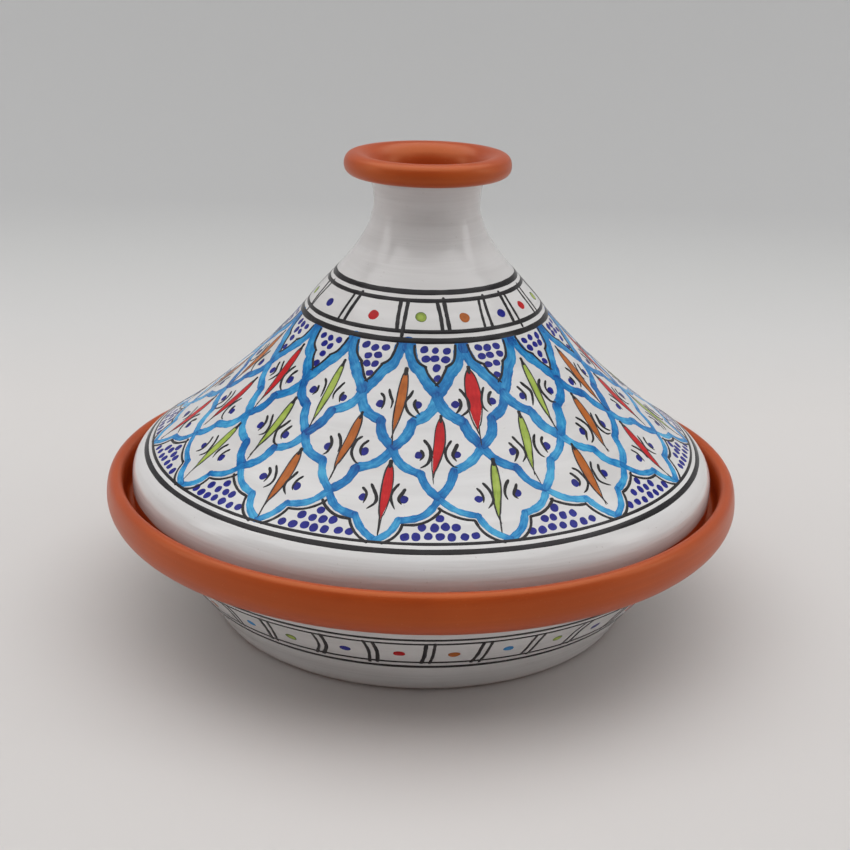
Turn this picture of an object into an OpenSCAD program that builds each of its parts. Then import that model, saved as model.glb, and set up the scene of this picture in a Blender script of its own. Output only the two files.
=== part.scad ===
// Tagine: a shallow footed dish and a conical lid that lifts off by its hollow, flared knob.
// Every part is turned about Z. The dish stands on Z = 0, and the lid rests on a ledge inside its rim.
// Each clay body carries thin glaze coats, which are let into the clay, so the coated
// surface keeps the size given here. Rims, ledge, lid foot and underside stay bare clay.

/* [Dish] */
// Diameter over the rolled rim
rim_d = 310; // [302:1:320]
// Height of the rim's crest
rim_z = 73; // [70:0.2:76]
// Width of the rim from its outermost point to its inner wall
rim_w = 7.7; // [7:0.1:9]
// Diameter of the flat foot
foot_d = 199; // [190:1:206]
// Height of the ledge that the lid rests on
ledge_z = 58; // [56:0.5:60]
// Width of the ledge
ledge_w = 12.3; // [11:0.1:14]
// Height of the dish's inside floor
floor_z = 9; // [7.5:0.5:11]

/* [Lid] */
// Diameter over the skirt
skirt_d = 285.2; // [280:0.2:286]
// Height at which the cone meets the neck
neck_z = 150; // [145:1:156]
// Diameter at the foot of the neck
neck_d = 119.2; // [112:0.4:126]
// Wall of the lid, measured across the cone
lid_wall = 8; // [6.5:0.5:9]

/* [Knob] */
// Diameter over the knob's rolled ring
knob_d = 79; // [74:1:84]
// Height of the ring's centre line
knob_z = 219.7; // [214:0.1:226]
// Thickness of the rolled ring
ring_t = 10.4; // [9:0.2:12]
// Diameter of the knob's waist
waist_d = 51.2; // [49:0.2:56]
// Height of the waist
waist_z = 200; // [197:0.5:202]
// Depth of the hollow in the knob, from the ring's centre line
cup_depth = 31.7; // [28:0.1:33]

/* [Glaze] */
// Thickness of each glaze coat
glaze_t = 0.4; // [0.3:0.1:0.6]

/* [Hidden] */
$fn = 96;

steps = 12;              // straight faces per curve of a profile
ring_steps = 32;         // and round the knob's ring
rim_r = rim_d / 2;
well_r = rim_r - rim_w;  // inner wall of the rim
bowl_r = well_r - ledge_w - 2.5;
foot_r = foot_d / 2;
foot_ring_w = 16;        // flat ring that the dish stands on
foot_recess = 1.5;       // hollow inside that ring
skirt_r = skirt_d / 2;
lip_w = 7;               // flat lip that the lid stands on
neck_r = neck_d / 2;
waist_r = waist_d / 2;
ring_r = knob_d / 2 - ring_t / 2;
cup_r = waist_r - 6;     // inside radius of the hollow at the waist
cup_z = knob_z - cup_depth;
dome_z = cup_z - 7;      // top of the lid's inside, under the knob's floor

clay = "#B85C36";
white_glaze = "#E9E8E5";
inner_glaze = "#F0EFEB";

// ---- Profile helpers: points are [radius, height] ----

function bezier(a, b, c, d, t) =
    pow(1 - t, 3) * a + 3 * pow(1 - t, 2) * t * b + 3 * (1 - t) * t * t * c + pow(t, 3) * d;

// A smooth curve from a to d. It leaves out a itself, so that curves join end to end.
function curve(a, b, c, d) = [for (i = [1:steps]) bezier(a, b, c, d, i / steps)];

function unit(v) = v / norm(v);

// The curve moved sideways by d to the left of its direction, with points on the axis kept there
function moved(p, d) = [
    for (i = [0:len(p) - 1])
        let (
            along = unit(p[min(i + 1, len(p) - 1)] - p[max(i - 1, 0)]),
            q = p[i] + d * [-along[1], along[0]]
        )
        [p[i][0] == 0 ? 0 : q[0], q[1]]
];

function reversed(p) = [for (i = [len(p) - 1:-1:0]) p[i]];

// ---- Profiles of the dish, from the foot up the outside, over the rim and down the inside ----

heel = [foot_r + 4.4, 2.8];
under_rim = [rim_r - 14.2, rim_z - 22.2];
rim_side = [rim_r, rim_z - 9.8];
rim_crest = [rim_r - 4.4, rim_z];
rim_inside = [well_r, rim_z - 4.2];
bowl_edge = [bowl_r, ledge_z - 1];
bowl_floor = [foot_r - 11, floor_z + 0.5];

foot_curve = concat([[foot_r, 0]], curve([foot_r, 0], [foot_r + 2.5, 0], [foot_r + 3.7, 0.8], heel));
belly = concat([heel], curve(heel, heel + [6.6, 11.2], under_rim + [-17.3, -19.5], under_rim));
rim_curve = concat(
    [under_rim],
    curve(under_rim, under_rim + [9.2, 0.5], rim_side - [0, 7], rim_side),
    curve(rim_side, rim_side + [0, 6], rim_crest + [3.1, 0], rim_crest),
    curve(rim_crest, rim_crest - [2.1, 0], rim_inside + [0, 3], rim_inside)
);
ledge = [[well_r - 1.3, ledge_z + 0.8], [well_r - 2.5, ledge_z], [bowl_r + 1.5, ledge_z]];
bowl = concat(
    [bowl_edge],
    curve(bowl_edge, bowl_edge - [16, 21], bowl_floor + [17.5, 4.5], bowl_floor),
    curve(bowl_floor, bowl_floor - [8, 0.5], [foot_r / 2, floor_z], [0, floor_z])
);
underside = [[0, foot_recess], [foot_r - foot_ring_w - 2, foot_recess], [foot_r - foot_ring_w, 0]];

// ---- Profiles of the lid, from the lip up the outside, into the knob, and up the inside ----

lip = [skirt_r - 2, ledge_z];
skirt_foot = [skirt_r, ledge_z + 8];
skirt_top = [skirt_r, ledge_z + 12];
shoulder = [skirt_r - 7.1, ledge_z + 25.7];
neck_foot = [neck_r, neck_z];
waist = [waist_r, waist_z];
ring_centre = [ring_r, knob_z];
join_angle = -140;       // where the neck runs into the ring's underside
ring_round = 0.78;       // 1 gives the ring a circular section, and less squares it off

// A point on the section of the knob's ring, at angle w
function ring_point(w) =
    ring_centre + ring_t / 2 * [for (v = [cos(w), sin(w)]) sign(v) * pow(abs(v), ring_round)];

ring_join = ring_point(join_angle);
ring_crest = ring_point(90);
mouth_round = 10;        // how far the hollow's mouth is rounded, inwards and down
mouth = ring_crest - [mouth_round, mouth_round];
cup_waist = [cup_r, waist_z + 4];

lip_curve = curve(lip, lip + [1.6, 0.3], skirt_foot - [0, 5], skirt_foot);
lid_side = concat(
    [skirt_foot, skirt_top],
    curve(skirt_top, skirt_top + [0, 7.5], shoulder + [4, -2.9], shoulder),
    curve(shoulder, shoulder + [-14.5, 8.9], neck_foot + [23.4, -28.5], neck_foot),
    curve(neck_foot, neck_foot + [-12.1, 16.5], waist + [0.9, -17], waist),
    curve(waist, waist + [-0.2, 6], ring_join + [-4.6, -4], ring_join)
);
ring_curve = [
    for (i = [0:ring_steps]) ring_point(join_angle + (90 - join_angle) * i / ring_steps)
];
cup = concat(
    curve(ring_crest, ring_crest - [5.5, 0], mouth + [0, 4.5], mouth),
    curve(mouth, mouth - [0, 4], cup_waist + [0.4, 4], cup_waist),
    curve(cup_waist, cup_waist - [0.8, 12], [cup_r - 5, cup_z], [0, cup_z])
);
in_foot = [lip[0] - lip_w, ledge_z];
in_shoulder = shoulder - lid_wall * [0.87, 0.53];
in_neck = neck_foot - lid_wall * [0.76, 0.75];
lid_inside = concat(
    [in_foot + [0, 1.5]],
    curve(in_foot + [0, 1.5], in_foot + [0.8, 12], in_shoulder + [4.5, -3.5], in_shoulder),
    curve(in_shoulder, in_shoulder + [-14, 8.7], in_neck + [23, -28], in_neck),
    curve(in_neck, in_neck + [-10, 13], [cup_r, dome_z], [0, dome_z])
);

// ---- Solids ----

// A turned solid with the given outline
module turned(outline) {
    rotate_extrude() polygon(outline);
}

// A glaze coat between a surface curve and the same curve moved into the clay
module coat(surface, depth) {
    turned(concat(surface, reversed(moved(surface, depth))));
}

module dish() {
    color(clay)
        turned(concat(
            foot_curve, moved(belly, glaze_t), rim_curve, ledge, moved(bowl, glaze_t), underside
        ));
}

module dish_outer_glaze() {
    color(white_glaze) coat(belly, glaze_t);
}

module dish_inner_glaze() {
    color(inner_glaze) coat(bowl, glaze_t);
}

module lid() {
    color(clay)
        turned(concat(
            [lip], lip_curve, moved(lid_side, glaze_t), ring_curve, cup,
            reversed(moved(lid_inside, -glaze_t)), [in_foot + [0, 1.5], in_foot]
        ));
}

module lid_outer_glaze() {
    color(white_glaze) coat(lid_side, glaze_t);
}

module lid_inner_glaze() {
    color(inner_glaze) coat(lid_inside, -glaze_t);
}

dish();
dish_outer_glaze();
dish_inner_glaze();
lid();
lid_outer_glaze();
lid_inner_glaze();
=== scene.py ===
"""Tagine pot: turned clay and glaze surfaces with brush-painted ornament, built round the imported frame.

Lengths are in millimetres until a mesh is made. A place on a turned surface is given by its turn,
the angle round the pot in degrees (0 at the front, growing to the right), and by its run, the
distance in millimetres along the surface's profile from that profile's start.
"""

import math
import random

import bmesh
import bpy
import numpy as np
from mathutils import Matrix, Vector


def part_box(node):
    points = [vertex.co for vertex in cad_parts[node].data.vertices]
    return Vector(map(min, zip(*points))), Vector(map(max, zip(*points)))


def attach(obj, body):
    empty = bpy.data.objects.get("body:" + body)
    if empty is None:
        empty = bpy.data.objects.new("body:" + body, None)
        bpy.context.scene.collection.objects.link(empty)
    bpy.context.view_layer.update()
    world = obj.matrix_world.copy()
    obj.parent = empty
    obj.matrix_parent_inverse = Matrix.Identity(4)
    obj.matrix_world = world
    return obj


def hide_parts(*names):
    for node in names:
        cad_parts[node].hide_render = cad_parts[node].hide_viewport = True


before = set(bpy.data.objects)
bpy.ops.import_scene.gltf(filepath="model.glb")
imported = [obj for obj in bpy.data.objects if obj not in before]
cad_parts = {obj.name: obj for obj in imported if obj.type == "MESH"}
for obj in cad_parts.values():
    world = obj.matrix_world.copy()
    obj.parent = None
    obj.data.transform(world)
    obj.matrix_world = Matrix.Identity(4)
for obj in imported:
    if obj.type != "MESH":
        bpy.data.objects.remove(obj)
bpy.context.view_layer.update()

MM = 0.001


# ---- Sizes: the driving ones come from the frame, and the rest follow from them ----

def corner(node, high):
    """The lowest or highest corner of a CAD node, in millimetres."""
    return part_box(node)[1 if high else 0] / MM


RIM_R = corner("dish", True).x
RIM_Z = corner("dish", True).z
HEEL_Z = corner("dish_outer_glaze", False).z
LEDGE_Z = corner("lid", False).z
SKIRT_R = corner("lid_outer_glaze", True).x
KNOB_TOP = corner("lid", True).z

RIM_W = 7.7
LEDGE_W = 12.3
FLOOR_Z = 9.0
FOOT_R = 99.5
FOOT_RING_W = 16.0
FOOT_RECESS = 1.5
NECK_R = 59.6
NECK_Z = 150.0
LID_WALL = 8.0
LIP_W = 7.0
WAIST_R = 25.6
WAIST_Z = 200.0
RING_BAR = 5.2          # radius of the knob ring's cross-section
CUP_WALL = 6.0
CUP_DEPTH = 31.7
KNOB_R = 39.5

GLAZE_T = 0.42          # thickness of a glaze coat
GLAZE_SEAT = 0.3        # how far the clay lies back under a coat
GLAZE_SINK = 0.34       # how far a coat's edge sinks towards the clay
GLAZE_EDGE = 1.1        # width over which it does so
GLAZE_THIN = 1.8        # how far from its edge a coat still looks thin
WANDER_FADE = 4.0       # how far in from its edge a coat's uneven run dies away
SEAT_EASE = 3.0         # half the width over which the clay dips under a coat
CLAY_COLUMNS = 288      # faces round the clay
BARE_STEP = 0.95        # spacing of the clay's rows where it is bare
COVERED_STEP = 4.0      # and under a coat
GLAZE_COLUMNS = 360     # faces round a coat
COAT_STEP = 1.25        # spacing of a coat's rows
COAT_START = 3.2        # how far from its ends they start
AXIS_STEP = 0.8         # the row next to the axis
EDGE_BAND = 2.4         # closer rows along an edge take up this width
EDGE_ROWS = 13
FAR = 99.0              # a distance from any edge that is too long to matter
WAVE = 6.28             # a whole wave, in radians
PHASES = (0, 6.3)       # range for a wave's random start


def point(r, z):
    return np.array([r, z], float)


def bezier(a, b, c, d, count=24):
    """Points of a cubic curve from a to d, with both ends."""
    t = np.linspace(0, 1, count)[:, None]
    return (1 - t) ** 3 * a + 3 * (1 - t) ** 2 * t * b + 3 * (1 - t) * t * t * c + t**3 * d


def smoothstep(x):
    x = np.clip(x, 0, 1)
    return x * x * (3 - 2 * x)


# ---- Profiles as (radius, height), all running so that the clay is on their left ----

WELL_R = RIM_R - RIM_W
BOWL_R = WELL_R - LEDGE_W - 2.5

heel = point(FOOT_R + 4.4, HEEL_Z)
under_rim = point(RIM_R - 14.2, RIM_Z - 22.2)
rim_side = point(RIM_R, RIM_Z - 9.8)
rim_crest = point(RIM_R - 4.4, RIM_Z)
rim_inside = point(WELL_R, RIM_Z - 4.2)
bowl_edge = point(BOWL_R, LEDGE_Z - 1)
bowl_floor = point(FOOT_R - 11, FLOOR_Z + 0.5)

underside = np.array([
    (0, FOOT_RECESS), (FOOT_R - FOOT_RING_W - 2, FOOT_RECESS), (FOOT_R - FOOT_RING_W, 0), (FOOT_R, 0)
])
foot_curve = bezier(underside[-1], underside[-1] + [2.5, 0], heel - [0.7, 2], heel)
belly = bezier(heel, heel + [6.6, 11.2], under_rim + [-17.3, -19.5], under_rim)
rim = np.vstack([
    bezier(under_rim, under_rim + [9.2, 0.5], rim_side - [0, 7], rim_side),
    bezier(rim_side, rim_side + [0, 6], rim_crest + [3.1, 0], rim_crest),
    bezier(rim_crest, rim_crest - [2.1, 0], rim_inside + [0, 3], rim_inside),
])
ledge = np.array([(WELL_R - 1.3, LEDGE_Z + 0.8), (WELL_R - 2.5, LEDGE_Z), (BOWL_R + 1.5, LEDGE_Z)])
bowl = np.vstack([
    bezier(bowl_edge, bowl_edge - [16, 21], bowl_floor + [17.5, 4.5], bowl_floor),
    bezier(bowl_floor, bowl_floor - [8, 0.5], point(FOOT_R / 2, FLOOR_Z), point(0, FLOOR_Z)),
])

KNOB_Z = KNOB_TOP - RING_BAR
CUP_R = WAIST_R - CUP_WALL
CUP_Z = KNOB_Z - CUP_DEPTH
DOME_Z = CUP_Z - 7

lip = point(SKIRT_R - 2, LEDGE_Z)
skirt_foot = point(SKIRT_R, LEDGE_Z + 8)
skirt_top = point(SKIRT_R, LEDGE_Z + 12)
shoulder = point(SKIRT_R - 7.1, LEDGE_Z + 25.7)
neck_foot = point(NECK_R, NECK_Z)
waist = point(WAIST_R, WAIST_Z)
ring_centre = point(KNOB_R - RING_BAR, KNOB_Z)
JOIN = math.radians(-140)      # where the neck runs into the ring's underside
RING_ROUND = 0.78              # 1 would give the ring a circular section, and less squares it off


def ring_points(turn):
    """Points on the section of the knob's ring, at these angles."""
    across = np.stack([np.cos(turn), np.sin(turn)], -1)
    return ring_centre + RING_BAR * np.sign(across) * np.abs(across) ** RING_ROUND


ring_join, ring_crest = ring_points(JOIN), ring_points(math.pi / 2)
MOUTH_ROUND = 10               # how far the hollow's mouth is rounded, inwards and down
mouth = ring_crest - MOUTH_ROUND
cup_waist = point(CUP_R, WAIST_Z + 4)

lip_curve = bezier(lip, lip + [1.6, 0.3], skirt_foot - [0, 5], skirt_foot)
lid_side = np.vstack([
    [skirt_foot],
    bezier(skirt_top, skirt_top + [0, 7.5], shoulder + [4, -2.9], shoulder),
    bezier(shoulder, shoulder + [-14.5, 8.9], neck_foot + [23.4, -28.5], neck_foot, 60),
    bezier(neck_foot, neck_foot + [-12.1, 16.5], waist + [0.9, -17], waist, 40),
    bezier(waist, waist + [-0.2, 6], ring_join + [-4.6, -4], ring_join),
])
knob_ring = ring_points(np.linspace(JOIN, math.pi / 2, 60))
cup = np.vstack([
    bezier(ring_crest, ring_crest - [5.5, 0], mouth + [0, 4.5], mouth),
    bezier(mouth, mouth - [0, 4], cup_waist + [0.4, 4], cup_waist),
    bezier(cup_waist, cup_waist - [0.8, 12], point(CUP_R - 5, CUP_Z), point(0, CUP_Z)),
])
in_foot = point(lip[0] - LIP_W, LEDGE_Z)
in_shoulder = shoulder - LID_WALL * np.array([0.87, 0.53])
in_neck = neck_foot - LID_WALL * np.array([0.76, 0.75])
lid_inside = np.vstack([
    bezier(in_foot + [0, 1.5], in_foot + [0.8, 12], in_shoulder + [4.5, -3.5], in_shoulder),
    bezier(in_shoulder, in_shoulder + [-14, 8.7], in_neck + [23, -28], in_neck, 60),
    bezier(in_neck, in_neck + [-10, 13], point(CUP_R, DOME_Z), point(0, DOME_Z)),
])[::-1]


class Profile:
    """A smooth line of (radius, height) points at an even spacing, with its normals out of the clay."""

    SPACING = 0.5
    SOFTENING = 10      # rounds of smoothing, which ease every corner

    def __init__(self, *lines):
        rough = np.vstack(lines)
        moved = np.linalg.norm(np.diff(rough, axis=0), axis=1)
        rough = rough[np.concatenate([[True], moved > 1e-6])]
        run = self.length_along(rough)
        self.run = np.linspace(0, run[-1], int(run[-1] / self.SPACING) + 2)
        self.points = np.stack([np.interp(self.run, run, rough[:, k]) for k in (0, 1)], 1)
        for _ in range(self.SOFTENING):
            self.points[1:-1] = (self.points[:-2] + 2 * self.points[1:-1] + self.points[2:]) / 4
        tangent = np.gradient(self.points, self.run, axis=0)
        tangent /= np.linalg.norm(tangent, axis=1)[:, None]
        self.normals = np.stack([tangent[:, 1], -tangent[:, 0]], 1)
        self.length = self.run[-1]

    @staticmethod
    def length_along(points):
        return np.concatenate([[0], np.cumsum(np.linalg.norm(np.diff(points, axis=0), axis=1))])

    def radius(self, run):
        return np.interp(run, self.run, self.points[:, 0])

    def at(self, run, lift):
        """(radius, height) at these runs, lifted off the surface."""
        out = []
        for k in (0, 1):
            base = np.interp(run, self.run, self.points[:, k])
            out.append(base + lift * np.interp(run, self.run, self.normals[:, k]))
        return out


def throwing(turn, z):
    """How far the potter's hand left the wall inside its true circle, in millimetres: 0 or less."""
    a = np.radians(turn)
    slow = 0.10 * np.sin(2 * a + 0.7) + 0.07 * np.sin(3 * a + 2.1 + z / 40)
    rings = 0.07 * np.sin(z / 1.9 + 0.8 * np.sin(a + 0.4)) + 0.05 * np.sin(z / 4.3 + 1.3)
    return slow + rings - 0.30


def in_space(turn, r, z):
    """Points in metres for places round the pot, with throwing marks that fade towards the axis."""
    r = np.where(r > 0.5, r + throwing(turn, z) * np.clip(r / 20, 0, 1), r)
    a = np.radians(turn)
    return np.stack([r * np.sin(a), -r * np.cos(a), z], -1) * MM


# ---- Meshes ----

def new_piece(name, verts, faces, material, body, attributes=None):
    """A smooth mesh object that rides on a CAD body."""
    mesh = bpy.data.meshes.new(name)
    mesh.from_pydata(verts, [], faces)
    for key, values in (attributes or {}).items():
        layer = mesh.attributes.new(key, "FLOAT", "POINT")
        layer.data.foreach_set("value", np.asarray(values, np.float32))
    made = bmesh.new()
    made.from_mesh(mesh)
    bmesh.ops.remove_doubles(made, verts=made.verts, dist=2e-8)
    bmesh.ops.recalc_face_normals(made, faces=made.faces)
    made.to_mesh(mesh)
    made.free()
    mesh.polygons.foreach_set("use_smooth", [True] * len(mesh.polygons))
    mesh.materials.append(material)
    piece = bpy.data.objects.new(name, mesh)
    bpy.context.scene.collection.objects.link(piece)
    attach(piece, body)
    return piece


def turned_faces(rows, columns):
    """Quads of a turned surface whose profile is a closed loop."""
    i, j = np.meshgrid(np.arange(rows), np.arange(columns), indexing="ij")
    i2, j2 = (i + 1) % rows, (j + 1) % columns
    quads = np.stack([i * columns + j, i * columns + j2, i2 * columns + j2, i2 * columns + j], -1)
    return quads.reshape(-1, 4).tolist()


def clay_body(name, sections, material, body, node):
    """A turned clay solid. Each section of its outline is a line and whether a glaze coat covers it."""
    profile = Profile(*[line for line, _ in sections])
    ends = np.cumsum([Profile.length_along(line)[-1] for line, _ in sections])
    ends *= profile.length / ends[-1]
    covered = np.zeros(len(profile.run))
    start = 0.0
    for (line, coat), end in zip(sections, ends):
        if coat:
            covered[(profile.run >= start) & (profile.run <= end)] = 1
        start = end
    window = int(SEAT_EASE / Profile.SPACING)
    seat = np.convolve(np.pad(covered, window, "edge"), np.ones(2 * window + 1) / (2 * window + 1), "valid")
    points = profile.points - profile.normals * (GLAZE_SEAT * seat)[:, None]
    points[[0, -1], 0] = 0
    rows, last = [0], 0.0
    for i, run in enumerate(profile.run):
        if run - last >= (COVERED_STEP if seat[i] > 0.99 else BARE_STEP):
            rows.append(i)
            last = run
    if rows[-1] != len(points) - 1:
        rows.append(len(points) - 1)
    turn = np.arange(CLAY_COLUMNS) * 360 / CLAY_COLUMNS
    r, z = points[rows, 0][:, None], points[rows, 1][:, None]
    verts = in_space(turn[None, :], r + 0 * turn, z + 0 * turn).reshape(-1, 3)
    faces = turned_faces(len(rows), CLAY_COLUMNS)
    piece = new_piece(name, verts.tolist(), faces, material, body)
    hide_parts(node)


def glaze_coat(name, line, material, body, node, edges, seed):
    """A thin coat on a turned surface. edges says for its start and its end whether the coat stops
    there in an uneven edge. Where it doesn't, the line ends on the axis."""
    profile = Profile(line)
    length = profile.length
    fine = np.linspace(0, EDGE_BAND, EDGE_ROWS)
    run = np.concatenate([
        fine if edges[0] else [0, AXIS_STEP],
        np.arange(COAT_START, length - COAT_START, COAT_STEP),
        length - fine[::-1] if edges[1] else [length - AXIS_STEP, length],
    ])
    turn = np.arange(GLAZE_COLUMNS) * 360 / GLAZE_COLUMNS
    dice = random.Random(seed)
    wander = sum(
        dice.uniform(0.04, 0.14) * np.sin(np.radians(turn) * k + dice.uniform(*PHASES))
        for k in (2, 3, 5, 7, 11, 16, 23, 31)
    )
    near_start = np.exp(-run / WANDER_FADE)[:, None] * (1.0 if edges[0] else 0.0)
    near_end = np.exp(-(length - run) / WANDER_FADE)[:, None] * (1.0 if edges[1] else 0.0)
    place = np.clip(run[:, None] + wander * near_start + wander[::-1] * near_end, 0, length)
    to_edge = np.full(len(run), FAR)
    if edges[0]:
        to_edge = np.minimum(to_edge, run)
    if edges[1]:
        to_edge = np.minimum(to_edge, length - run)
    lift = (-GLAZE_SINK * (1 - smoothstep(to_edge / GLAZE_EDGE)))[:, None] + 0 * turn
    under = run[::4]
    if under[-1] != run[-1]:
        under = np.append(under, run[-1])
    under = under[::-1]
    under_place = under[:, None] + 0 * turn
    r_top, z_top = profile.at(place, lift)
    r_under, z_under = profile.at(under_place, -GLAZE_T)
    r, z = np.vstack([r_top, r_under]), np.vstack([z_top, z_under])
    if not edges[0]:
        r[[0, -1]] = 0
    if not edges[1]:
        r[[len(run) - 1, len(run)]] = 0
    verts = in_space(turn[None, :], r, z).reshape(-1, 3)
    thin = np.exp(-np.concatenate([to_edge, 0 * under + FAR]) / GLAZE_THIN)[:, None] + 0 * turn
    faces = turned_faces(len(r), GLAZE_COLUMNS)
    piece = new_piece(name, verts.tolist(), faces, material, body, {"thin": thin.ravel()})
    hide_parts(node)


# ---- Materials ----

def rgb(code):
    """A linear colour from a hex code in sRGB."""
    parts = [int(code[i:i + 2], 16) / 255 for i in (1, 3, 5)]
    return tuple(c / 12.92 if c <= 0.04045 else ((c + 0.055) / 1.055) ** 2.4 for c in parts) + (1.0,)


class Nodes:
    """Short calls for one material's node tree."""

    def __init__(self, name):
        self.material = bpy.data.materials.new(name)
        self.material.use_nodes = True
        self.tree = self.material.node_tree
        self.shader = self.tree.nodes["Principled BSDF"]

    def link(self, source, target):
        self.tree.links.new(source, target)

    def add(self, kind, **settings):
        node = self.tree.nodes.new(kind)
        for key, value in settings.items():
            setattr(node, key, value)
        return node

    def put(self, socket, value):
        if isinstance(value, bpy.types.NodeSocket):
            self.link(value, socket)
        else:
            socket.default_value = value

    def math(self, operation, a, b=0.0, clamp=False):
        node = self.add("ShaderNodeMath", operation=operation, use_clamp=clamp)
        self.put(node.inputs[0], a)
        self.put(node.inputs[1], b)
        return node.outputs[0]

    def noise(self, vector, scale, detail, roughness, distortion=0.0):
        node = self.add("ShaderNodeTexNoise")
        self.put(node.inputs["Vector"], vector)
        for key, value in (
            ("Scale", scale), ("Detail", detail), ("Roughness", roughness), ("Distortion", distortion)
        ):
            node.inputs[key].default_value = value
        return node.outputs["Fac"]

    def place(self, stretch=(1, 1, 1)):
        """Object coordinates in metres, stretched."""
        coordinates = self.add("ShaderNodeTexCoord").outputs["Object"]
        mapping = self.add("ShaderNodeMapping")
        self.link(coordinates, mapping.inputs["Vector"])
        mapping.inputs["Scale"].default_value = stretch
        return mapping.outputs["Vector"]

    def attribute(self, name):
        return self.add("ShaderNodeAttribute", attribute_name=name).outputs["Fac"]

    def blend(self, factor, a, b):
        node = self.add("ShaderNodeMix", data_type="RGBA")
        self.put(node.inputs[0], factor)
        self.put(node.inputs[6], a)
        self.put(node.inputs[7], b)
        return node.outputs[2]

    def ramp(self, factor, *stops):
        node = self.add("ShaderNodeValToRGB")
        self.put(node.inputs["Fac"], factor)
        elements = node.color_ramp.elements
        while len(elements) < len(stops):
            elements.new(0.5)
        for element, (position, colour) in zip(elements, stops):
            element.position = position
            element.color = colour
        return node.outputs["Color"]

    def spread(self, value, low, high, to_low=0.0, to_high=1.0):
        """value mapped from low..high to to_low..to_high, and held there."""
        node = self.add("ShaderNodeMapRange")
        self.put(node.inputs["Value"], value)
        for key, number in (
            ("From Min", low), ("From Max", high), ("To Min", to_low), ("To Max", to_high)
        ):
            node.inputs[key].default_value = number
        return node.outputs["Result"]

    def bump(self, height, strength, distance):
        node = self.add("ShaderNodeBump")
        node.inputs["Strength"].default_value = strength
        node.inputs["Distance"].default_value = distance
        self.link(height, node.inputs["Height"])
        self.link(node.outputs["Normal"], self.shader.inputs["Normal"])

    def finish(self, **sockets):
        for name, value in sockets.items():
            self.put(self.shader.inputs[name.replace("_", " ")], value)
        return self.material


def terracotta():
    """Bare fired clay: faint turning rings, fine grain and a few small specks."""
    n = Nodes("terracotta")
    cloud = n.noise(n.place(), 22, 3, 0.5)
    grain = n.noise(n.place(), 1500, 2, 0.6)
    turning = n.noise(n.place((7, 7, 700)), 1.0, 2, 0.5, 0.2)
    body = n.ramp(
        n.math("ADD", n.math("MULTIPLY", cloud, 0.7), n.math("MULTIPLY", turning, 0.3)),
        (0.30, rgb("#A53B11")), (0.52, rgb("#AE4113")), (0.74, rgb("#BA4B18")),
    )
    grained = n.blend(n.spread(grain, 0.35, 0.75, 0.0, 0.22), body, rgb("#A64A22"))
    pale = n.spread(n.noise(n.place(), 900, 1, 0.4), 0.72, 0.79)
    colour = n.blend(n.math("MULTIPLY", pale, 0.12), grained, rgb("#DE9468"))
    height = n.math("ADD", n.math("MULTIPLY", turning, 0.6), n.math("MULTIPLY", grain, 0.25))
    n.bump(height, 0.25, 0.0003)
    rough = n.spread(cloud, 0.3, 0.7, 0.32, 0.40)
    n.shader.inputs["Specular Tint"].default_value = (1.0, 0.50, 0.23, 1)
    return n.finish(Base_Color=colour, Roughness=rough, IOR=1.55, Specular_IOR_Level=0.98)


def white_glaze(name, tint, warm):
    """Glossy white glaze, a little uneven, thinner and pinkish where it ends on the clay."""
    n = Nodes(name)
    cloud = n.noise(n.place(), 16, 3, 0.5)
    fine = n.noise(n.place((1, 1, 2.2)), 140, 2, 0.5)
    body = n.ramp(cloud, (0.3, rgb(warm)), (0.7, rgb(tint)))
    speck = n.spread(n.noise(n.place(), 700, 1, 0.3), 0.765, 0.80)
    colour = n.blend(n.math("MULTIPLY", speck, 0.25), body, rgb("#9C9088"))
    thin = n.math("MULTIPLY", n.attribute("thin"), 0.8, clamp=True)
    colour = n.blend(thin, colour, rgb("#C4805F"))
    turning = n.noise(n.place((9, 9, 170)), 1.0, 3, 0.6, 0.4)
    hollow = n.math("ADD", n.math("MULTIPLY", cloud, 0.5), n.math("MULTIPLY", turning, 0.5))
    colour = n.blend(n.spread(turning, 0.42, 0.72, 0.0, 0.5), colour, rgb("#C9C7C6"))
    n.bump(hollow, 0.4, 0.0016)
    rough = n.spread(fine, 0.3, 0.7, 0.10, 0.17)
    return n.finish(Base_Color=colour, Roughness=rough, IOR=1.5)


def paint(name, pale, middle, dense, streaks, edge):
    """Brushed colour under the clear glaze: streaks along the stroke, denser where the brush rested
    and, by edge, along its sides."""
    n = Nodes(name)
    lane = n.add("ShaderNodeCombineXYZ")
    n.put(lane.inputs[0], n.math("MULTIPLY", n.attribute("along"), 0.09))
    n.put(lane.inputs[1], n.attribute("across"))
    n.put(lane.inputs[2], n.math("MULTIPLY", n.attribute("seed"), 40.0))
    bristles = n.noise(lane.outputs[0], 2.3, 4, 0.65)
    blotch = n.noise(n.place(), 210, 3, 0.6)
    side = n.math("POWER", n.math("ABSOLUTE", n.attribute("across")), 4.0)
    streak = n.math("MULTIPLY", n.math("SUBTRACT", bristles, 0.5), streaks * 2)
    load = n.math("ADD", n.attribute("load"), streak)
    load = n.math("ADD", load, n.math("MULTIPLY", n.math("SUBTRACT", blotch, 0.5), streaks))
    load = n.math("ADD", load, n.math("MULTIPLY", side, edge), clamp=True)
    colour = n.ramp(load, (0.1, rgb(pale)), (0.5, rgb(middle)), (0.95, rgb(dense)))
    return n.finish(Base_Color=colour, Roughness=0.2, IOR=1.5, Specular_IOR_Level=0.18)


# ---- Painting ----

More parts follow.
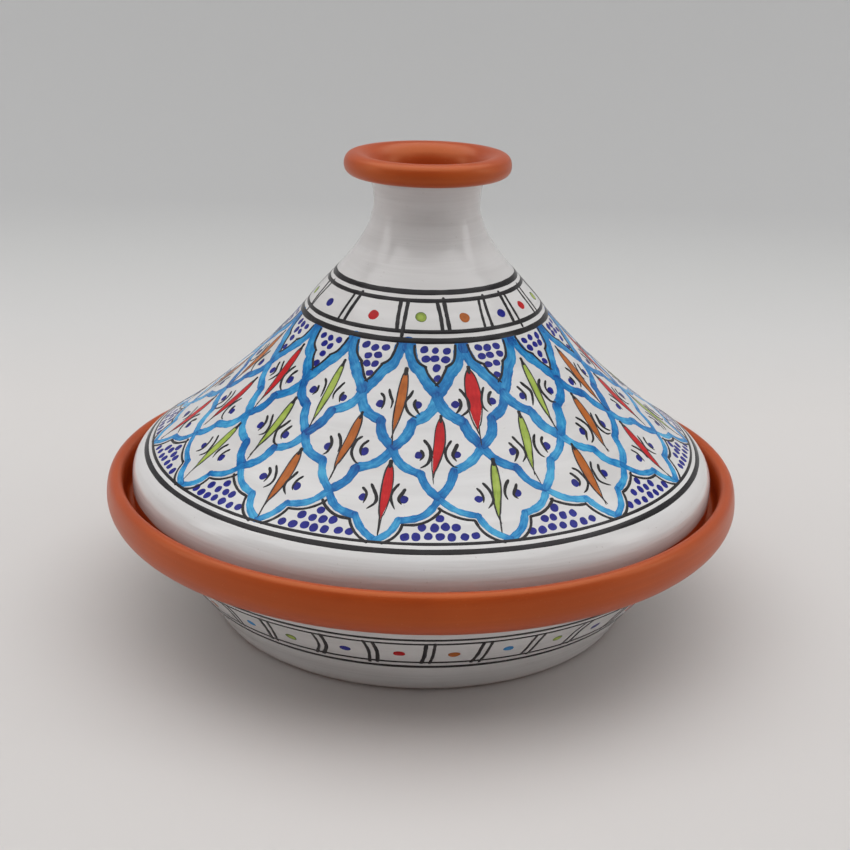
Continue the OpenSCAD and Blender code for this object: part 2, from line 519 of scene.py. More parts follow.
def spline(points, step, scale):
    """A smooth curve through the given (turn, run) points, with points about a step apart that lie
    closer near its ends. scale is mm per degree."""
    points = np.asarray(points, float) * [scale, 1.0]
    padded = np.vstack([2 * points[0] - points[1], points, 2 * points[-1] - points[-2]])
    pieces = []
    t = np.linspace(0, 1, 16, endpoint=False)[:, None]
    for p0, p1, p2, p3 in zip(padded, padded[1:], padded[2:], padded[3:]):
        pieces.append(0.5 * (
            2 * p1 + (p2 - p0) * t + (2 * p0 - 5 * p1 + 4 * p2 - p3) * t**2
            + (3 * p1 - p0 - 3 * p2 + p3) * t**3
        ))
    line = np.vstack(pieces + [points[-1:]])
    run = Profile.length_along(line)
    count = max(6, int(run[-1] / step) + 1)
    even = np.linspace(0, 1, count)
    even = (0.45 * even + 0.55 * (0.5 - 0.5 * np.cos(np.pi * even))) * run[-1]
    return np.stack([np.interp(even, run, line[:, k]) for k in (0, 1)], 1) / [scale, 1.0]


class Paint:
    """Strokes and dots in one colour on one turned surface, each a thin closed patch on the glaze."""

    ROOT = -0.03        # how far a patch's edge and underside lie in the glaze
    STEP = 0.0016       # how much prouder the next patch stands, so that none share a surface
    STEPS = 7           # and after how many patches that starts again
    BROAD = 1.8         # width from which a stroke gets more points across
    ACROSS_BROAD = (-1, -0.86, -0.4, 0, 0.4, 0.86, 1)
    ACROSS_FINE = (-1, -0.7, 0, 0.7, 1)
    ACROSS_RING = (-1, -0.75, 0, 0.75, 1)
    SMALLEST = 0.05     # least half width of a stroke
    SWELL_WAVE = 9      # wavelength of a stroke's changes in width
    EDGE_WAVE = 2.6     # of the roughness of its edges
    LOAD_WAVE = 14      # and of its changes in colour
    RING_LOAD = 0.55    # colour on a ring
    RING_ROWS = 300     # points round the pot in a ring
    DOT_POINTS = 22     # points round a dot

    def __init__(self, surface, lift, dice):
        self.surface, self.lift, self.dice = surface, lift, dice
        self.points, self.faces, self.total, self.patches = [], [], 0, 0
        self.marks = {"along": [], "across": [], "load": [], "seed": []}

    def scale(self, run):
        """Millimetres per degree at this run."""
        return self.surface.radius(run) * math.pi / 180

    def next_lift(self):
        self.patches += 1
        return self.lift + self.STEP * (self.patches % self.STEPS)

    def keep(self, turn, run, lift, marks, faces):
        r, z = self.surface.at(run, lift)
        self.points.append(in_space(turn, r, z))
        for key, values in marks.items():
            self.marks[key].append(np.broadcast_to(values, turn.shape))
        self.faces.extend((np.asarray(face) + self.total).tolist() for face in faces)
        self.total += len(turn)

    def grid(self, turn, run, along, across, load, loop=False):
        """A patch with one row per step along the stroke, its rim sunk into the glaze."""
        rows, columns = turn.shape
        top = np.full(turn.shape, self.next_lift())
        top[:, [0, -1]] = self.ROOT
        if not loop:
            top[[0, -1]] = self.ROOT
        inner_rows = range(rows) if loop else range(1, rows - 1)
        under = np.arange(rows * columns).reshape(rows, columns)
        spare = rows * columns
        picked = []
        for i in inner_rows:
            for j in range(1, columns - 1):
                under[i, j] = spare + len(picked)
                picked.append(i * columns + j)
        over = np.arange(rows * columns).reshape(rows, columns)
        faces = []
        for i in range(rows if loop else rows - 1):
            k = (i + 1) % rows
            for j in range(columns - 1):
                faces.append((over[i, j], over[i, j + 1], over[k, j + 1], over[k, j]))
                faces.append((under[k, j], under[k, j + 1], under[i, j + 1], under[i, j]))

        def both(values):
            flat = np.broadcast_to(values, turn.shape).ravel()
            return np.concatenate([flat, flat[picked]])

        lift = np.concatenate([top.ravel(), np.full(len(picked), self.ROOT)])
        seed = self.dice.random()
        marks = {"along": both(along), "across": both(across), "load": both(load), "seed": seed}
        self.keep(both(turn), both(run), lift, marks, faces)

    def stroke(self, line, width, taper=(0.5, 0.5), load=0.4, pool=0.3, uneven=0.1, shape=None):
        """A brush stroke along (turn, run) points. taper is the length in widths over which each
        end narrows, pool how much more colour lies at the ends, and shape a width for each t."""
        line = np.asarray(line, float)
        scale = self.scale(line[:, 1].mean())
        path = spline(line, 0.75 if width > 0.9 else 0.9, scale)
        scales = self.scale(path[:, 1])
        step = np.gradient(path, axis=0) * np.stack([scales, np.ones(len(path))], 1)
        step /= np.linalg.norm(step, axis=1)[:, None]
        flat = path * [scale, 1.0]
        along = Profile.length_along(flat)
        length = along[-1]
        wave = self.wave(along, self.SWELL_WAVE, 1.0)
        if shape is None:
            starts = np.clip(along / max(taper[0] * width, 1e-3), 0, 1)
            ends = np.clip((length - along) / max(taper[1] * width, 1e-3), 0, 1)
            narrow = np.sqrt(starts * (2 - starts)) * np.sqrt(ends * (2 - ends))
        else:
            narrow = shape(along / length)
        half = np.maximum(width / 2 * narrow * (1 + uneven * wave), self.SMALLEST)
        across = np.array(self.ACROSS_BROAD if width > self.BROAD else self.ACROSS_FINE)
        rough = [self.wave(along, self.EDGE_WAVE, 0.05) for _ in range(2)]
        lean = np.where(across < 0, rough[0][:, None], rough[1][:, None]) * np.abs(across)
        offset = (half[:, None] * across) + lean * np.clip(half, 0, 0.6)[:, None]
        turn = path[:, :1] - step[:, 1:] * offset / scales[:, None]
        run = path[:, 1:] + step[:, :1] * offset
        rest = 0.8 + 0.5 * width
        near = np.exp(-along / rest) + np.exp(-(length - along) / rest)
        full = load + pool * near + self.wave(along, self.LOAD_WAVE, 0.1)
        self.grid(turn, run, along[:, None], across[None, :], full[:, None])

    def wave(self, along, length, size):
        """A smooth random line of about this wavelength and size."""
        out = 0
        for part in (1.0, 0.55, 0.31):
            phase, stretch = self.dice.uniform(*PHASES), self.dice.uniform(0.8, 1.25)
            turns = along / (length * part * stretch)
            out = out + math.sqrt(part) * np.sin(turns * WAVE + phase)
        return out * size * 0.55

    def ripple(self, turn, waves, divisor):
        """A random wave round the pot."""
        size = self.dice.uniform(0.3, 1) / divisor
        return size * np.sin(np.radians(turn) * waves + self.dice.uniform(*PHASES))

    def ring(self, run, width, wander=0.25):
        """A line all the way round."""
        turn = np.arange(self.RING_ROWS) * 360 / self.RING_ROWS
        drift, swell = 0, 0
        for k in (1, 2, 3, 5, 8, 13, 21, 34):
            drift = drift + self.ripple(turn, k, k**0.7)
            swell = swell + self.ripple(turn, k + 4, 3)
        centre = run + wander * 0.4 * drift
        across = np.array(self.ACROSS_RING)
        offset = (width / 2 * (1 + 0.09 * swell))[:, None] * across
        along = turn * self.scale(run)
        full = self.RING_LOAD + 0.12 * swell
        turns, runs = turn[:, None] + 0 * across, centre[:, None] + offset
        self.grid(turns, runs, along[:, None], across[None, :], full[:, None], True)

    def dot(self, turn, run, size, stretch, lean, load=0.5):
        """A touch of the brush: a rounded spot, size across."""
        count = self.DOT_POINTS
        a = np.arange(count) * 2 * math.pi / count
        edge = 1 + sum(
            self.dice.uniform(0.0, 0.045) * np.sin(k * a + self.dice.uniform(*PHASES)) for k in (1, 2, 3, 4)
        )
        x, y = np.cos(a) * edge * stretch, np.sin(a) * edge / stretch
        c, s = math.cos(math.radians(lean)), math.sin(math.radians(lean))
        x, y = (x * c - y * s) * size / 2, (x * s + y * c) * size / 2
        rings = (0.55, 0.88, 1.0)
        xs = np.concatenate([[0], *[x * k for k in rings], [0]])
        ys = np.concatenate([[0], *[y * k for k in rings], [0]])
        lift = np.full(len(xs), self.next_lift())
        lift[1 + 2 * count:] = self.ROOT
        faces = []
        bottom = 1 + 3 * count
        for i in range(count):
            k = (i + 1) % count
            faces.append((0, 1 + i, 1 + k))
            for ring in range(2):
                a0, b0 = 1 + ring * count, 1 + (ring + 1) * count
                faces.append((a0 + i, b0 + i, b0 + k, a0 + k))
            faces.append((bottom, 1 + 2 * count + k, 1 + 2 * count + i))
        reach = np.concatenate([[0], *[np.full(count, k) for k in rings], [0]])
        marks = {
            "along": xs + 7 * self.dice.random(), "across": reach,
            "load": load + 0.25 * ys / size, "seed": self.dice.random(),
        }
        self.keep(turn + xs / self.scale(run), run + ys, lift, marks, faces)

    def piece(self, name, material, body, slot):
        marks = {key: np.concatenate([np.ravel(v) for v in values]) for key, values in self.marks.items()}
        new_piece(name, np.vstack(self.points).tolist(), self.faces, material, body, marks)


class Palette:
    """One Paint for each colour on one surface. Colours laid later stand a hair prouder."""

    ORDER = ("cobalt", "turquoise", "sky", "red", "green", "ochre", "black")
    LIFTS = {"cobalt": 0.035, "turquoise": 0.05, "black": 0.08}
    MIDDLE_LIFT = 0.065     # for the colours between

    def __init__(self, line, seed):
        self.surface = Profile(line)
        dice = random.Random(seed)
        self.dice = dice
        self.paints = {}
        for colour in self.ORDER:
            lift = self.LIFTS.get(colour, self.MIDDLE_LIFT)
            self.paints[colour] = Paint(self.surface, lift, dice)

    def __getattr__(self, colour):
        return self.paints[colour]

    def pieces(self, body, materials):
        for colour in self.ORDER:
            if self.paints[colour].total:
                name = f"{body}_paint_{colour}"
                self.paints[colour].piece(name, materials[colour], body, f"paint_{colour}")


# Bands and lattice on the lid: runs up the side from the foot of the skirt
SKIRT_LINES = ((20.4, 2.8), (24.2, 1.6))            # (run, width), from the bottom
COLLAR_LINES = ((122.3, 3.0), (126.7, 2.2), (142.1, 2.2), (146.3, 2.9))
CELLS = 15                                          # cells round the lid in each row
HALF = 180 / CELLS                                  # half a cell, in degrees
FIRST_TURN = -7.5                                   # centre of the bottom cell nearest the front
KNOTS = (26.0, 46.7, 71.0, 96.0, 121.5)             # where the lattice's strokes meet
STROKES = (3.5, 4.3, 5.0, 5.7)                      # stroke width in each row
LEAF_COLOURS = (("red", "green", "ochre"), ("red", "green", "ochre"), ("ochre", "red", "green"))
BIG_LEAF = (2, 1)                                   # the red leaf near the front, in the top row
DOT_COLOURS = ("cobalt", "red", "green", "ochre")
FRONT_CELLS = (31.5, 31, 20.5, 23, 17.5, 20)        # uneven widths of the collar's cells, in degrees
FRONT_START = -73.7                                 # where the first of them starts
BACK_CELL = 24                                      # about how wide the others are

# Shapes in the lattice, as (degrees out from the cell's centre, run)
PENDANT_SIDE = ((11.2, 122.1), (9.7, 115.5), (7.9, 110.6), (5.4, 106.9), (3.6, 103.4), (1.7, 99.6))
PENDANT_CUSP = (3.9, 109.9)
PENDANT_UPPER = ((8.9, 120.9), (8.2, 116.2), (6.6, 112.4))
PENDANT_LOWER = ((2.9, 106.6), (1.2, 103.2), (-0.8, 100.2))
WEDGE_W = 6.2                                       # width of the strokes up to the collar
MOUND_DOTS = ((27.6, 7, 2.25), (32.2, 4, 2.2), (36.3, 1, 0))            # (run, dots, degrees apart)
MOUND_GAPS = (2.7, 1.9, 1.4, 1.3, 1.3)              # white gap along a mound's outline, from its peak

# Leaves and hooks in each row: (lower tip, upper tip, level of the hooks, how far they are spread)
MOTIFS = ((35.0, 62.5, 46.0, 1.0), (57.5, 84.5, 67.5, 1.12), (78.5, 108.3, 92.0, 1.35))
LEAF_W = 4.9                                        # widest across a leaf
GREEN_LEAF = 0.88                                   # a green leaf is slimmer by this factor
MIDDLE_LEAN = 1.1                                   # the middle row's leaves lean further, in degrees
BIG_LEAF_W, BIG_LEAF_LEAN = 7.3, 1.3                # mm and degrees

# Hooks, as (degrees out from the leaf, mm above their level)
HOOK_INNER = ((3.2, 6.8), (2.2, 4.0), (1.55, 0.5), (1.8, -3.0), (2.9, -5.7), (4.2, -6.7))
HOOK_OUTER = ((4.8, 4.8), (3.9, 2.4), (3.5, -0.5), (4.0, -3.4), (5.0, -5.6))
HOOK_DOT_LEFT, HOOK_DOT_RIGHT = (4.6, -0.6), (4.3, -0.6)


def lattice_knots(dice):
    """Where the strokes of the lattice meet: {(row, half column): (turn, run)}."""
    knots = {}
    for row, run in enumerate(KNOTS):
        for half in range(row % 2, 2 * CELLS, 2):
            turn = FIRST_TURN + HALF * half
            knots[row, half] = (turn + dice.uniform(-0.8, 0.8), run + dice.uniform(-0.7, 0.7))
    return knots


def scallop(a, b, away, bulge, scale):
    """A line from a to b that bulges away from a point by a share of its length, and its outward side."""
    a, b, away = (np.array(p) * [scale, 1] for p in (a, b, away))
    chord = b - a
    normal = np.array([-chord[1], chord[0]])
    if normal @ ((a + b) / 2 - away) < 0:
        normal = -normal
    t = np.linspace(0, 1, 5)[:, None]
    line = a + chord * t + normal * bulge * (1 - (2 * t - 1) ** 2)
    return line / [scale, 1], normal / np.linalg.norm(normal) / [scale, 1]


def lattice_side(lid, low, high, centre, row):
    """One scalloped side of a cell, from its side knot high down to its lowest knot low."""
    dice = lid.dice
    scale = lid.turquoise.scale((low[1] + high[1]) / 2)
    shift = (0.64 + dice.uniform(-0.06, 0.06), 0.5 + dice.uniform(-0.07, 0.06))
    bend = tuple(h + (l - h) * k for h, l, k in zip(high, low, shift))
    away = (centre, high[1] + 2)
    for a, b, bulge in ((high, bend, 0.15), (bend, low, 0.12)):
        path, out = scallop(a, b, away, bulge + dice.uniform(-0.05, 0.05), scale)
        width = STROKES[row] * dice.uniform(0.9, 1.12)
        reach = (path[-1] - path[0]) * 1.6 / np.linalg.norm((path[-1] - path[0]) * [scale, 1])
        longer = np.vstack([path[0] - reach, path[1:-1], path[-1] + reach])
        load = 0.26 + 0.05 * row + dice.uniform(-0.16, 0.2)
        lid.turquoise.stroke(longer, width, (0.5, 0.5), load, 0.55)
        if row == 0:
            gaps = MOUND_GAPS if a is high else MOUND_GAPS[-1:] * len(path)
            outline = path + out * (width / 2 + np.array(gaps)[:, None])
            if a is high:
                outline[0] = 0.6 * outline[0] + 0.4 * outline[1]
            lid.black.stroke(outline, dice.uniform(1.3, 1.7), (0.5, 0.5), 0.5)


def pendant(lid, centre, high):
    """The spotted point that hangs from the collar between two cells of the top row."""
    dice = lid.dice
    for side in (-1, 1):

        def at(x, run):
            return (centre + side * x + dice.uniform(-0.25, 0.25), run + dice.uniform(-0.4, 0.4))

        path = [at(*place) for place in PENDANT_SIDE] + [(centre - side * 0.3, high - 1.5)]
        lid.turquoise.stroke(path, STROKES[3] * dice.uniform(0.92, 1.08), (0.5, 0.5), 0.42, 0.4)
        cusp = at(*PENDANT_CUSP)
        inward, outward = (cusp[0] - side * 0.5, cusp[1] - 0.2), (cusp[0] + side * 0.4, cusp[1] + 0.5)
        upper = [at(*place) for place in PENDANT_UPPER] + [inward]
        lid.black.stroke(upper, 1.5, (0.6, 0.4), 0.55)
        lower = [outward] + [at(*place) for place in PENDANT_LOWER]
        lid.black.stroke(lower, 1.45, (0.4, 2.5), 0.55)
    rows = (
        (118.1, 3, 4.4), (113.9, dice.choice((2, 3)), 4.0),
        (109.8, dice.choice((1, 2)), 3.4), (104.9, 1, 0),
    )
    for run, count, gap in rows:
        for i in range(count):
            x = (i - (count - 1) / 2) * gap + dice.uniform(-0.45, 0.45)
            y = run + dice.uniform(-0.5, 0.5)
            lid.cobalt.dot(centre + x, y, dice.uniform(3.3, 4.1), 1.1, dice.uniform(-30, 60))


def mound(lid, centre):
    """The blue dots in the mound between two bottom cells."""
    dice = lid.dice
    for run, count, gap in MOUND_DOTS:
        for i in range(count):
            x = (i - (count - 1) / 2) * gap + dice.uniform(-0.25, 0.25)
            size = dice.uniform(3.7, 4.4)
            lid.cobalt.dot(centre + x, run + dice.uniform(-0.4, 0.4), size, 1.05, dice.uniform(0, 90))


def spindle(lid, centre, low, high, colour, width, lean):
    """A pointed leaf with its black outline, dark at the upper tip and trailing off below."""
    dice = lid.dice
    brush = lid.paints[colour]
    scale = brush.scale((low + high) / 2)
    middle = (low + high) / 2 + 0.5
    bow = dice.uniform(-0.25, 0.25)
    spine = [
        (centre - lean / 2, low), (centre - lean / 5 + bow, (low + middle) / 2),
        (centre + lean / 6 + bow, middle), (centre + lean / 3 + bow / 2, (middle + high) / 2),
        (centre + lean / 2, high),
    ]

    def swell(t):
        return np.sin(np.pi * np.clip(t, 0, 1) ** 1.3) ** 0.72

    brush.stroke(spine, width, load=0.42, pool=0.2, uneven=0.05, shape=swell)
    path = spline(spine, 1.6, scale)
    t = np.linspace(0, 1, len(path))
    for side in (-1, 1):
        reach = side * width / 2 * swell(t) / scale * 0.97
        edge = np.stack([path[:, 0] + reach, path[:, 1]], 1)
        tail = (centre - lean / 2 - side * dice.uniform(-0.1, 0.35), low - dice.uniform(3.0, 9.0))
        edge = np.vstack([[tail], edge[1:-1], [(centre + lean / 2, high + 0.8)]])
        lid.black.stroke(edge, dice.uniform(0.55, 0.9), (4, 1.5), 0.35 + dice.uniform(-0.1, 0.15), 0.2)
    cap = [
        (centre + lean * 0.44, high - 2.8), (centre + lean / 2, high - 0.4),
        (centre + lean * 0.57, high + 2.0),
    ]
    lid.black.stroke(cap, dice.uniform(1.4, 2.1), (1.2, 0.4), 0.5, 0.1)


def hooks(lid, centre, run, spread):
    """The curled strokes and two blue dots on both sides of a spindle."""
    dice = lid.dice
    for side in (-1, 1):
        tilt = dice.uniform(-0.6, 0.6)

        def at(x, y):
            out = side * (x + dice.uniform(-0.25, 0.25)) * spread
            return (centre + out, run + y + tilt + dice.uniform(-0.4, 0.4))

        inner = [at(*place) for place in HOOK_INNER]
        inner = inner[:dice.choice((4, 5, 5, 6))]
        lid.black.stroke(inner, dice.uniform(1.3, 1.75), (1.2, 5), 0.55, 0.15)
        outer = [at(*place) for place in HOOK_OUTER]
        outer = outer[dice.choice((0, 0, 1)):dice.choice((4, 4, 5))]
        lid.black.stroke(outer, dice.uniform(1.3, 1.85), (0.9, 4), 0.55, 0.15)
        spot = at(*(HOOK_DOT_LEFT if side < 0 else HOOK_DOT_RIGHT))
        lid.cobalt.dot(*spot, dice.uniform(3.6, 4.2), 1.05, dice.uniform(0, 90), 0.55)


def cell_motifs(lid):
    """A spindle and its hooks in every cell."""
    dice = lid.dice
    for row, (low, high, level, spread) in enumerate(MOTIFS):
        for i in range(CELLS):
            centre = FIRST_TURN + HALF * (2 * i + row % 2) + dice.uniform(-0.4, 0.4)
            colour = LEAF_COLOURS[row][i % 3]
            size = LEAF_W * dice.uniform(0.88, 1.06)
            lean = dice.uniform(-0.5, 2.0)
            if colour == "green":
                size *= GREEN_LEAF
            if row == 1:
                lean += MIDDLE_LEAN
            if (row, i) == BIG_LEAF:
                size, lean = BIG_LEAF_W, BIG_LEAF_LEAN
            shift = dice.uniform(-0.8, 0.8)
            spindle(lid, centre, low + shift, high + shift, colour, size, lean)
            hooks(lid, centre + dice.uniform(-0.3, 0.3), level + shift, spread)


def collar(lid):
    """Four lines round the neck's foot, with divided cells and coloured dots between the middle two."""
    dice = lid.dice
    for run, width in COLLAR_LINES:
        lid.black.ring(run, width)
    left = 360 - sum(FRONT_CELLS)
    back = round(left / BACK_CELL)
    widths = list(FRONT_CELLS) + [left / back] * back
    low, high = COLLAR_LINES[1][0], COLLAR_LINES[2][0]
    start = FRONT_START
    for i, width in enumerate(widths):
        for side in (-1, 1):
            lean = dice.uniform(-1.3, 1.3)
            x = start + side * dice.uniform(1.6, 2.3)
            drop = dice.choice((0.6, 0.8, 3.2))
            rise = dice.choice((0.5, 0.6, 2.0))
            bend = x - lean * 0.2 + dice.uniform(-0.4, 0.4)
            path = [(x - lean, low - drop), (bend, (low + high) / 2), (x + lean, high + rise)]
            lid.black.stroke(path, dice.uniform(1.4, 2.0), (0.6, 1.0), 0.5, 0.15)
        colour = DOT_COLOURS[i % len(DOT_COLOURS)]
        middle = start + width / 2 + dice.uniform(-1, 1)
        level = (low + high) / 2 - 1 + dice.uniform(-0.8, 0.8)
        lid.paints[colour].dot(middle, level, dice.uniform(4.5, 5.4), 1.06, dice.uniform(-40, 40))
        start += width


def paint_lid(materials):
    lid = Palette(lid_side, 11)
    dice = lid.dice
    for run, width in SKIRT_LINES:
        lid.black.ring(run, width)
    knots = lattice_knots(dice)
    for row in range(3):
        for half in range(row % 2, 2 * CELLS, 2):
            for side in (-1, 1):
                beside = (half + side) % (2 * CELLS)
                turn, run = knots[row + 1, beside]
                turn += 360 * round((knots[row, half][0] - turn) / 360)
                centre = FIRST_TURN + HALF * half
                lattice_side(lid, knots[row, half], (turn, run), centre, row)
    for half in range(1, 2 * CELLS, 2):
        pendant(lid, knots[3, half][0], knots[3, half][1])
        mound(lid, knots[1, half][0])
    for half in range(0, 2 * CELLS, 2):
        turn, run = knots[4, half]
        rise = dice.choice((0.4, 0.8, 2.4))
        wedge = [(turn, run - 5.5), (turn, run - 2), (turn, run + rise)]
        lid.turquoise.stroke(wedge, WEDGE_W, (0.6, 0.5), 0.45, 0.35)
    cell_motifs(lid)
    collar(lid)
    lid.pieces("lid", materials)


# The band round the dish: runs up its outside from the heel
DISH_LINES = ((19.3, 2.5), (24.0, 2.0), (43.9, 2.0), (48.5, 2.5))
DISH_CELLS = 32
DISH_START = -9.3       # where the cell at the front starts, in degrees
DISH_DOTS = 33          # run of the dots
DISH_COLOURS = ("red", "ochre", "sky", "green", "cobalt")


def paint_dish(materials):
    dish = Palette(belly, 23)
    dice = dish.dice
    for run, width in DISH_LINES:
        dish.black.ring(run, width, wander=0.15)
    low, high = DISH_LINES[1][0], DISH_LINES[2][0]
    pitch = 360 / DISH_CELLS
    for i in range(-DISH_CELLS // 2, DISH_CELLS // 2):
        start = DISH_START + pitch * i + dice.uniform(-0.6, 0.6)
        bow, lean = dice.uniform(-0.5, 0.9), dice.uniform(-0.2, 1.3)
        for side in (-1, 1):
            x = start + side * dice.uniform(0.72, 0.98)
            tilt = lean + dice.uniform(-0.3, 0.3)
            path = [
                (x - tilt, low - dice.uniform(1.2, 2.8)), (x - tilt * 0.3 + bow, low + 6),
                (x + bow, (low + high) / 2 + 2), (x + tilt * 0.6, high + dice.uniform(0.2, 1.6)),
            ]
            dish.black.stroke(path, dice.uniform(1.5, 2.0), (0.6, 0.6), 0.6, 0.15)
        colour = DISH_COLOURS[i % len(DISH_COLOURS)]
        spot = start + pitch / 2 + dice.uniform(-0.4, 0.4)
        level = DISH_DOTS + dice.uniform(-0.7, 0.7)
        dish.paints[colour].dot(spot, level, dice.uniform(4.7, 5.5), 1.05, dice.uniform(-20, 20))
    dish.pieces("dish", materials)


# ---- Stage, lights and camera, in metres ----

STAGE_FLAT = 1.0            # radius of the flat floor
STAGE_COVE = 0.9            # radius of the curve from floor to wall
STAGE_HEIGHT = 1.5
COVE_STEPS = 32
STAGE_COLUMNS = 96
SHADE_BEHIND_SPAN = (0.28, 1.0)  # where the shade painted on the paper behind the pot begins, and where it is greyest
SHADE_FRONT_SPAN = (-1.9, -0.4)  # where the shade painted on the paper in front is darkest, and where it begins


def stage_material():
    """Pale paper with painted shade on it: greyer behind the pot, as if less light reached the wall, and
    darker far in front of it.
    """
    n = Nodes("paper_sweep_painted_shade")
    split = n.add("ShaderNodeSeparateXYZ")
    n.link(n.place(), split.inputs[0])
    # Painted shade: the paper turns greyer with distance behind the pot, standing in for light falling off
    # up the wall.
    behind = n.spread(split.outputs["Y"], *SHADE_BEHIND_SPAN)
    front = n.spread(split.outputs["Y"], *SHADE_FRONT_SPAN, 1.0, 0.0)
    colour = n.ramp(
        behind, (0.0, rgb("#D5D2D0")), (0.28, rgb("#D0CFCE")), (0.62, rgb("#C8C8C7")), (1.0, rgb("#C0C0C0"))
    )
    # Painted shade: far in front of the pot the paper is blended towards a darker grey.
    colour = n.blend(front, colour, rgb("#8C8C8C"))
    return n.finish(Base_Color=colour, Roughness=0.85, Specular_IOR_Level=0.2)


def backdrop():
    """A round studio: a floor that curves up into a wall all the way round."""
    line = [(STAGE_FLAT, 0.0)]
    for i in range(1, COVE_STEPS + 1):
        a = math.radians(90 * i / COVE_STEPS)
        line.append((STAGE_FLAT + STAGE_COVE * math.sin(a), STAGE_COVE * (1 - math.cos(a))))
    line.append((STAGE_FLAT + STAGE_COVE, STAGE_HEIGHT))
    columns = STAGE_COLUMNS
    turns = [2 * math.pi * k / columns for k in range(columns)]
    verts = [(r * math.sin(turn), r * math.cos(turn), z) for r, z in line for turn in turns]
    faces = [tuple(reversed(range(columns)))]
    for i in range(len(line) - 1):
        for k in range(columns):
            here, beside = i * columns + k, i * columns + (k + 1) % columns
            faces.append((here, beside, beside + columns, here + columns))
    mesh = bpy.data.meshes.new("sweep")
    mesh.from_pydata(verts, [], faces)
    mesh.polygons.foreach_set("use_smooth", [True] * len(faces))
    mesh.materials.append(stage_material())
    sweep = bpy.data.objects.new("sweep", mesh)
    bpy.context.scene.collection.objects.link(sweep)


def area_light(name, place, target, size, power):
    """A white rectangular light at place, turned to target, with its power in watts."""
    data = bpy.data.lights.new(name, "AREA")
    data.shape = "RECTANGLE"
    data.size, data.size_y = size
    data.energy = power
    light = bpy.data.objects.new(name, data)
    place, target = np.array(place, float), np.array(target, float)
    light.location = place
    light.rotation_euler = Vector(target - place).to_track_quat("-Z", "Y").to_euler()
    bpy.context.scene.collection.objects.link(light)


SKY_LOW, SKY_HIGH = 0.02, 0.12        # strength at the horizon and overhead
SKY_COLOUR = (0.98, 0.99, 1.0, 1)


def sky():
    """A soft white room: bright overhead, dim towards the horizon."""
    world = bpy.data.worlds.new("room")
    world.use_nodes = True
    tree = world.node_tree
    direction = tree.nodes.new("ShaderNodeTexCoord").outputs["Generated"]
    split = tree.nodes.new("ShaderNodeSeparateXYZ")
    tree.links.new(direction, split.inputs[0])
    height = tree.nodes.new("ShaderNodeMapRange")
    height.interpolation_type = "SMOOTHSTEP"
    for key, value in (("From Min", 0.0), ("From Max", 1.0), ("To Min", SKY_LOW), ("To Max", SKY_HIGH)):
        height.inputs[key].default_value = value
    tree.links.new(split.outputs["Z"], height.inputs["Value"])
    background = tree.nodes["Background"]
    background.inputs["Color"].default_value = SKY_COLOUR
    tree.links.new(height.outputs["Result"], background.inputs["Strength"])
    bpy.context.scene.world = world


def lights():
    """A broad soft light overhead, and a faint strip on each side."""
    sky()
    area_light("overhead", (0.0, 0.10, 1.7), (0, 0.05, 0), (3.2, 2.4), 40)
    for name, side, power in (("left_strip", -1, 1.8), ("right_strip", 1, 2.0)):
        area_light(name, (side * 1.5, -0.1, 0.9), (0, 0, 0.1), (0.4, 0.9), power)


CAMERA_PLACE = (0.00134, -0.6667, 0.3329)
CAMERA_DOWN = 20.02         # how far it looks down, in degrees
CAMERA_ROLL = 1.28          # and how far it is turned about its own axis
CAMERA_SENSOR, CAMERA_LENS = 36.0, 60.52        # in millimetres


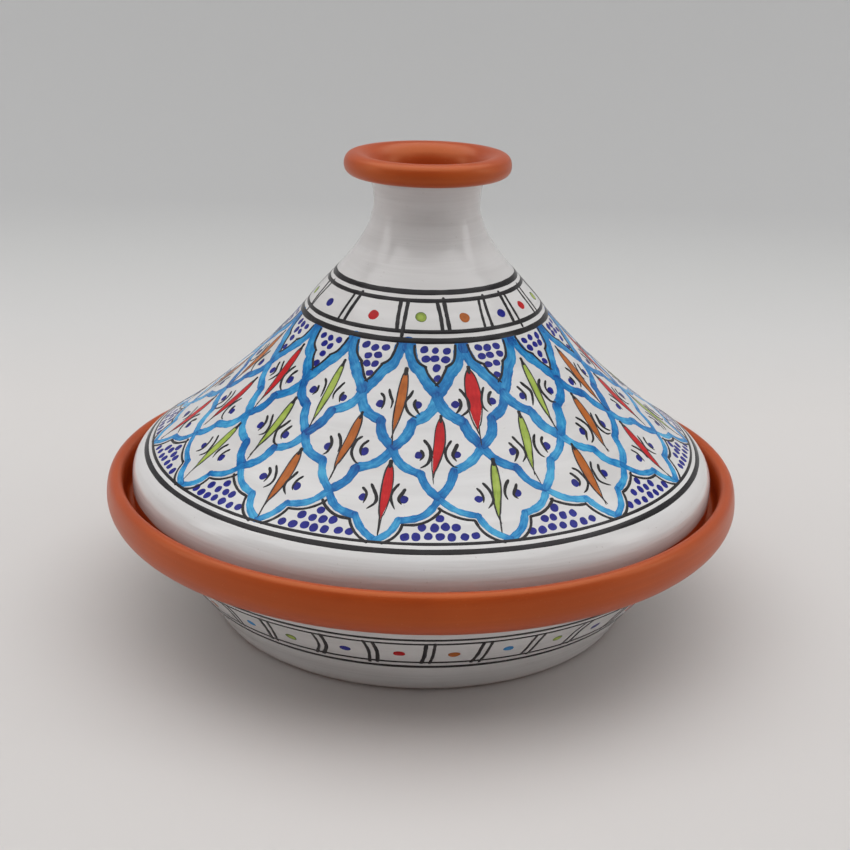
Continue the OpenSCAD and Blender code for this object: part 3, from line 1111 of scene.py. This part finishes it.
def camera():
    """The view that the pot's proportions were fitted to."""
    data = bpy.data.cameras.new("camera")
    data.sensor_width, data.lens = CAMERA_SENSOR, CAMERA_LENS
    data.clip_start, data.clip_end = 0.05, 20
    seen = bpy.data.objects.new("camera", data)
    pitch, roll = math.radians(90 - CAMERA_DOWN), math.radians(CAMERA_ROLL)
    turned = Matrix.Rotation(pitch, 4, "X") @ Matrix.Rotation(roll, 4, "Z")
    seen.matrix_world = Matrix.Translation(CAMERA_PLACE) @ turned
    bpy.context.scene.collection.objects.link(seen)
    bpy.context.scene.camera = seen


# ---- The pot ----

def build_pot():
    """The two clay bodies, their four glaze coats and the paint on them."""
    clay = terracotta()
    outer = white_glaze("white_glaze", "#E2E1E1", "#DDDBDA")
    inner = white_glaze("inner_glaze", "#EEEDEC", "#E9E7E5")
    dish_line = [
        (underside, False), (foot_curve, True), (belly, True), (rim, False), (ledge, False), (bowl, True)
    ]
    clay_body("dish_clay", dish_line, clay, "dish", "dish")
    lid_line = [
        (lid_inside, True), (np.array([in_foot, lip]), False), (lip_curve, False),
        (lid_side, True), (knob_ring, False), (cup, False),
    ]
    clay_body("lid_clay", lid_line, clay, "lid", "lid")
    dish_side = np.vstack([foot_curve[6:], belly])
    coats = (
        ("dish", "outside", dish_side, (True, True)), ("dish", "inside", bowl, (True, False)),
        ("lid", "outside", lid_side, (True, True)), ("lid", "inside", lid_inside, (False, True)),
    )
    for seed, (body, side, line, edges) in enumerate(coats, 3):
        if side == "outside":
            material, node, slot = outer, f"{body}_outer_glaze", "white_glaze"
        else:
            material, node, slot = inner, f"{body}_inner_glaze", "inner_glaze"
        glaze_coat(f"{body}_glaze_{side}", line, material, body, node, edges, seed)
    materials = {
        "black": paint("paint_black", "#454244", "#2A282A", "#18171A", 0.35, 0.0),
        "turquoise": paint("paint_turquoise", "#4FB0DC", "#2080C0", "#0C4592", 0.5, 0.18),
        "cobalt": paint("paint_cobalt", "#363B9C", "#1F2384", "#12155C", 0.45, 0.0),
        "red": paint("paint_red", "#DA2A2A", "#C0191F", "#8E1418", 0.4, 0.1),
        "green": paint("paint_green", "#BCCB6C", "#A3B950", "#4C5E24", 0.4, 0.6),
        "ochre": paint("paint_ochre", "#CB7637", "#B26127", "#84441B", 0.35, 0.15),
        "sky": paint("paint_sky", "#5BA6DA", "#3B8CC9", "#2468A4", 0.3, 0.2),
    }
    paint_lid(materials)
    paint_dish(materials)


build_pot()
backdrop()
lights()
camera()
bpy.context.scene.view_settings.view_transform = "Standard"
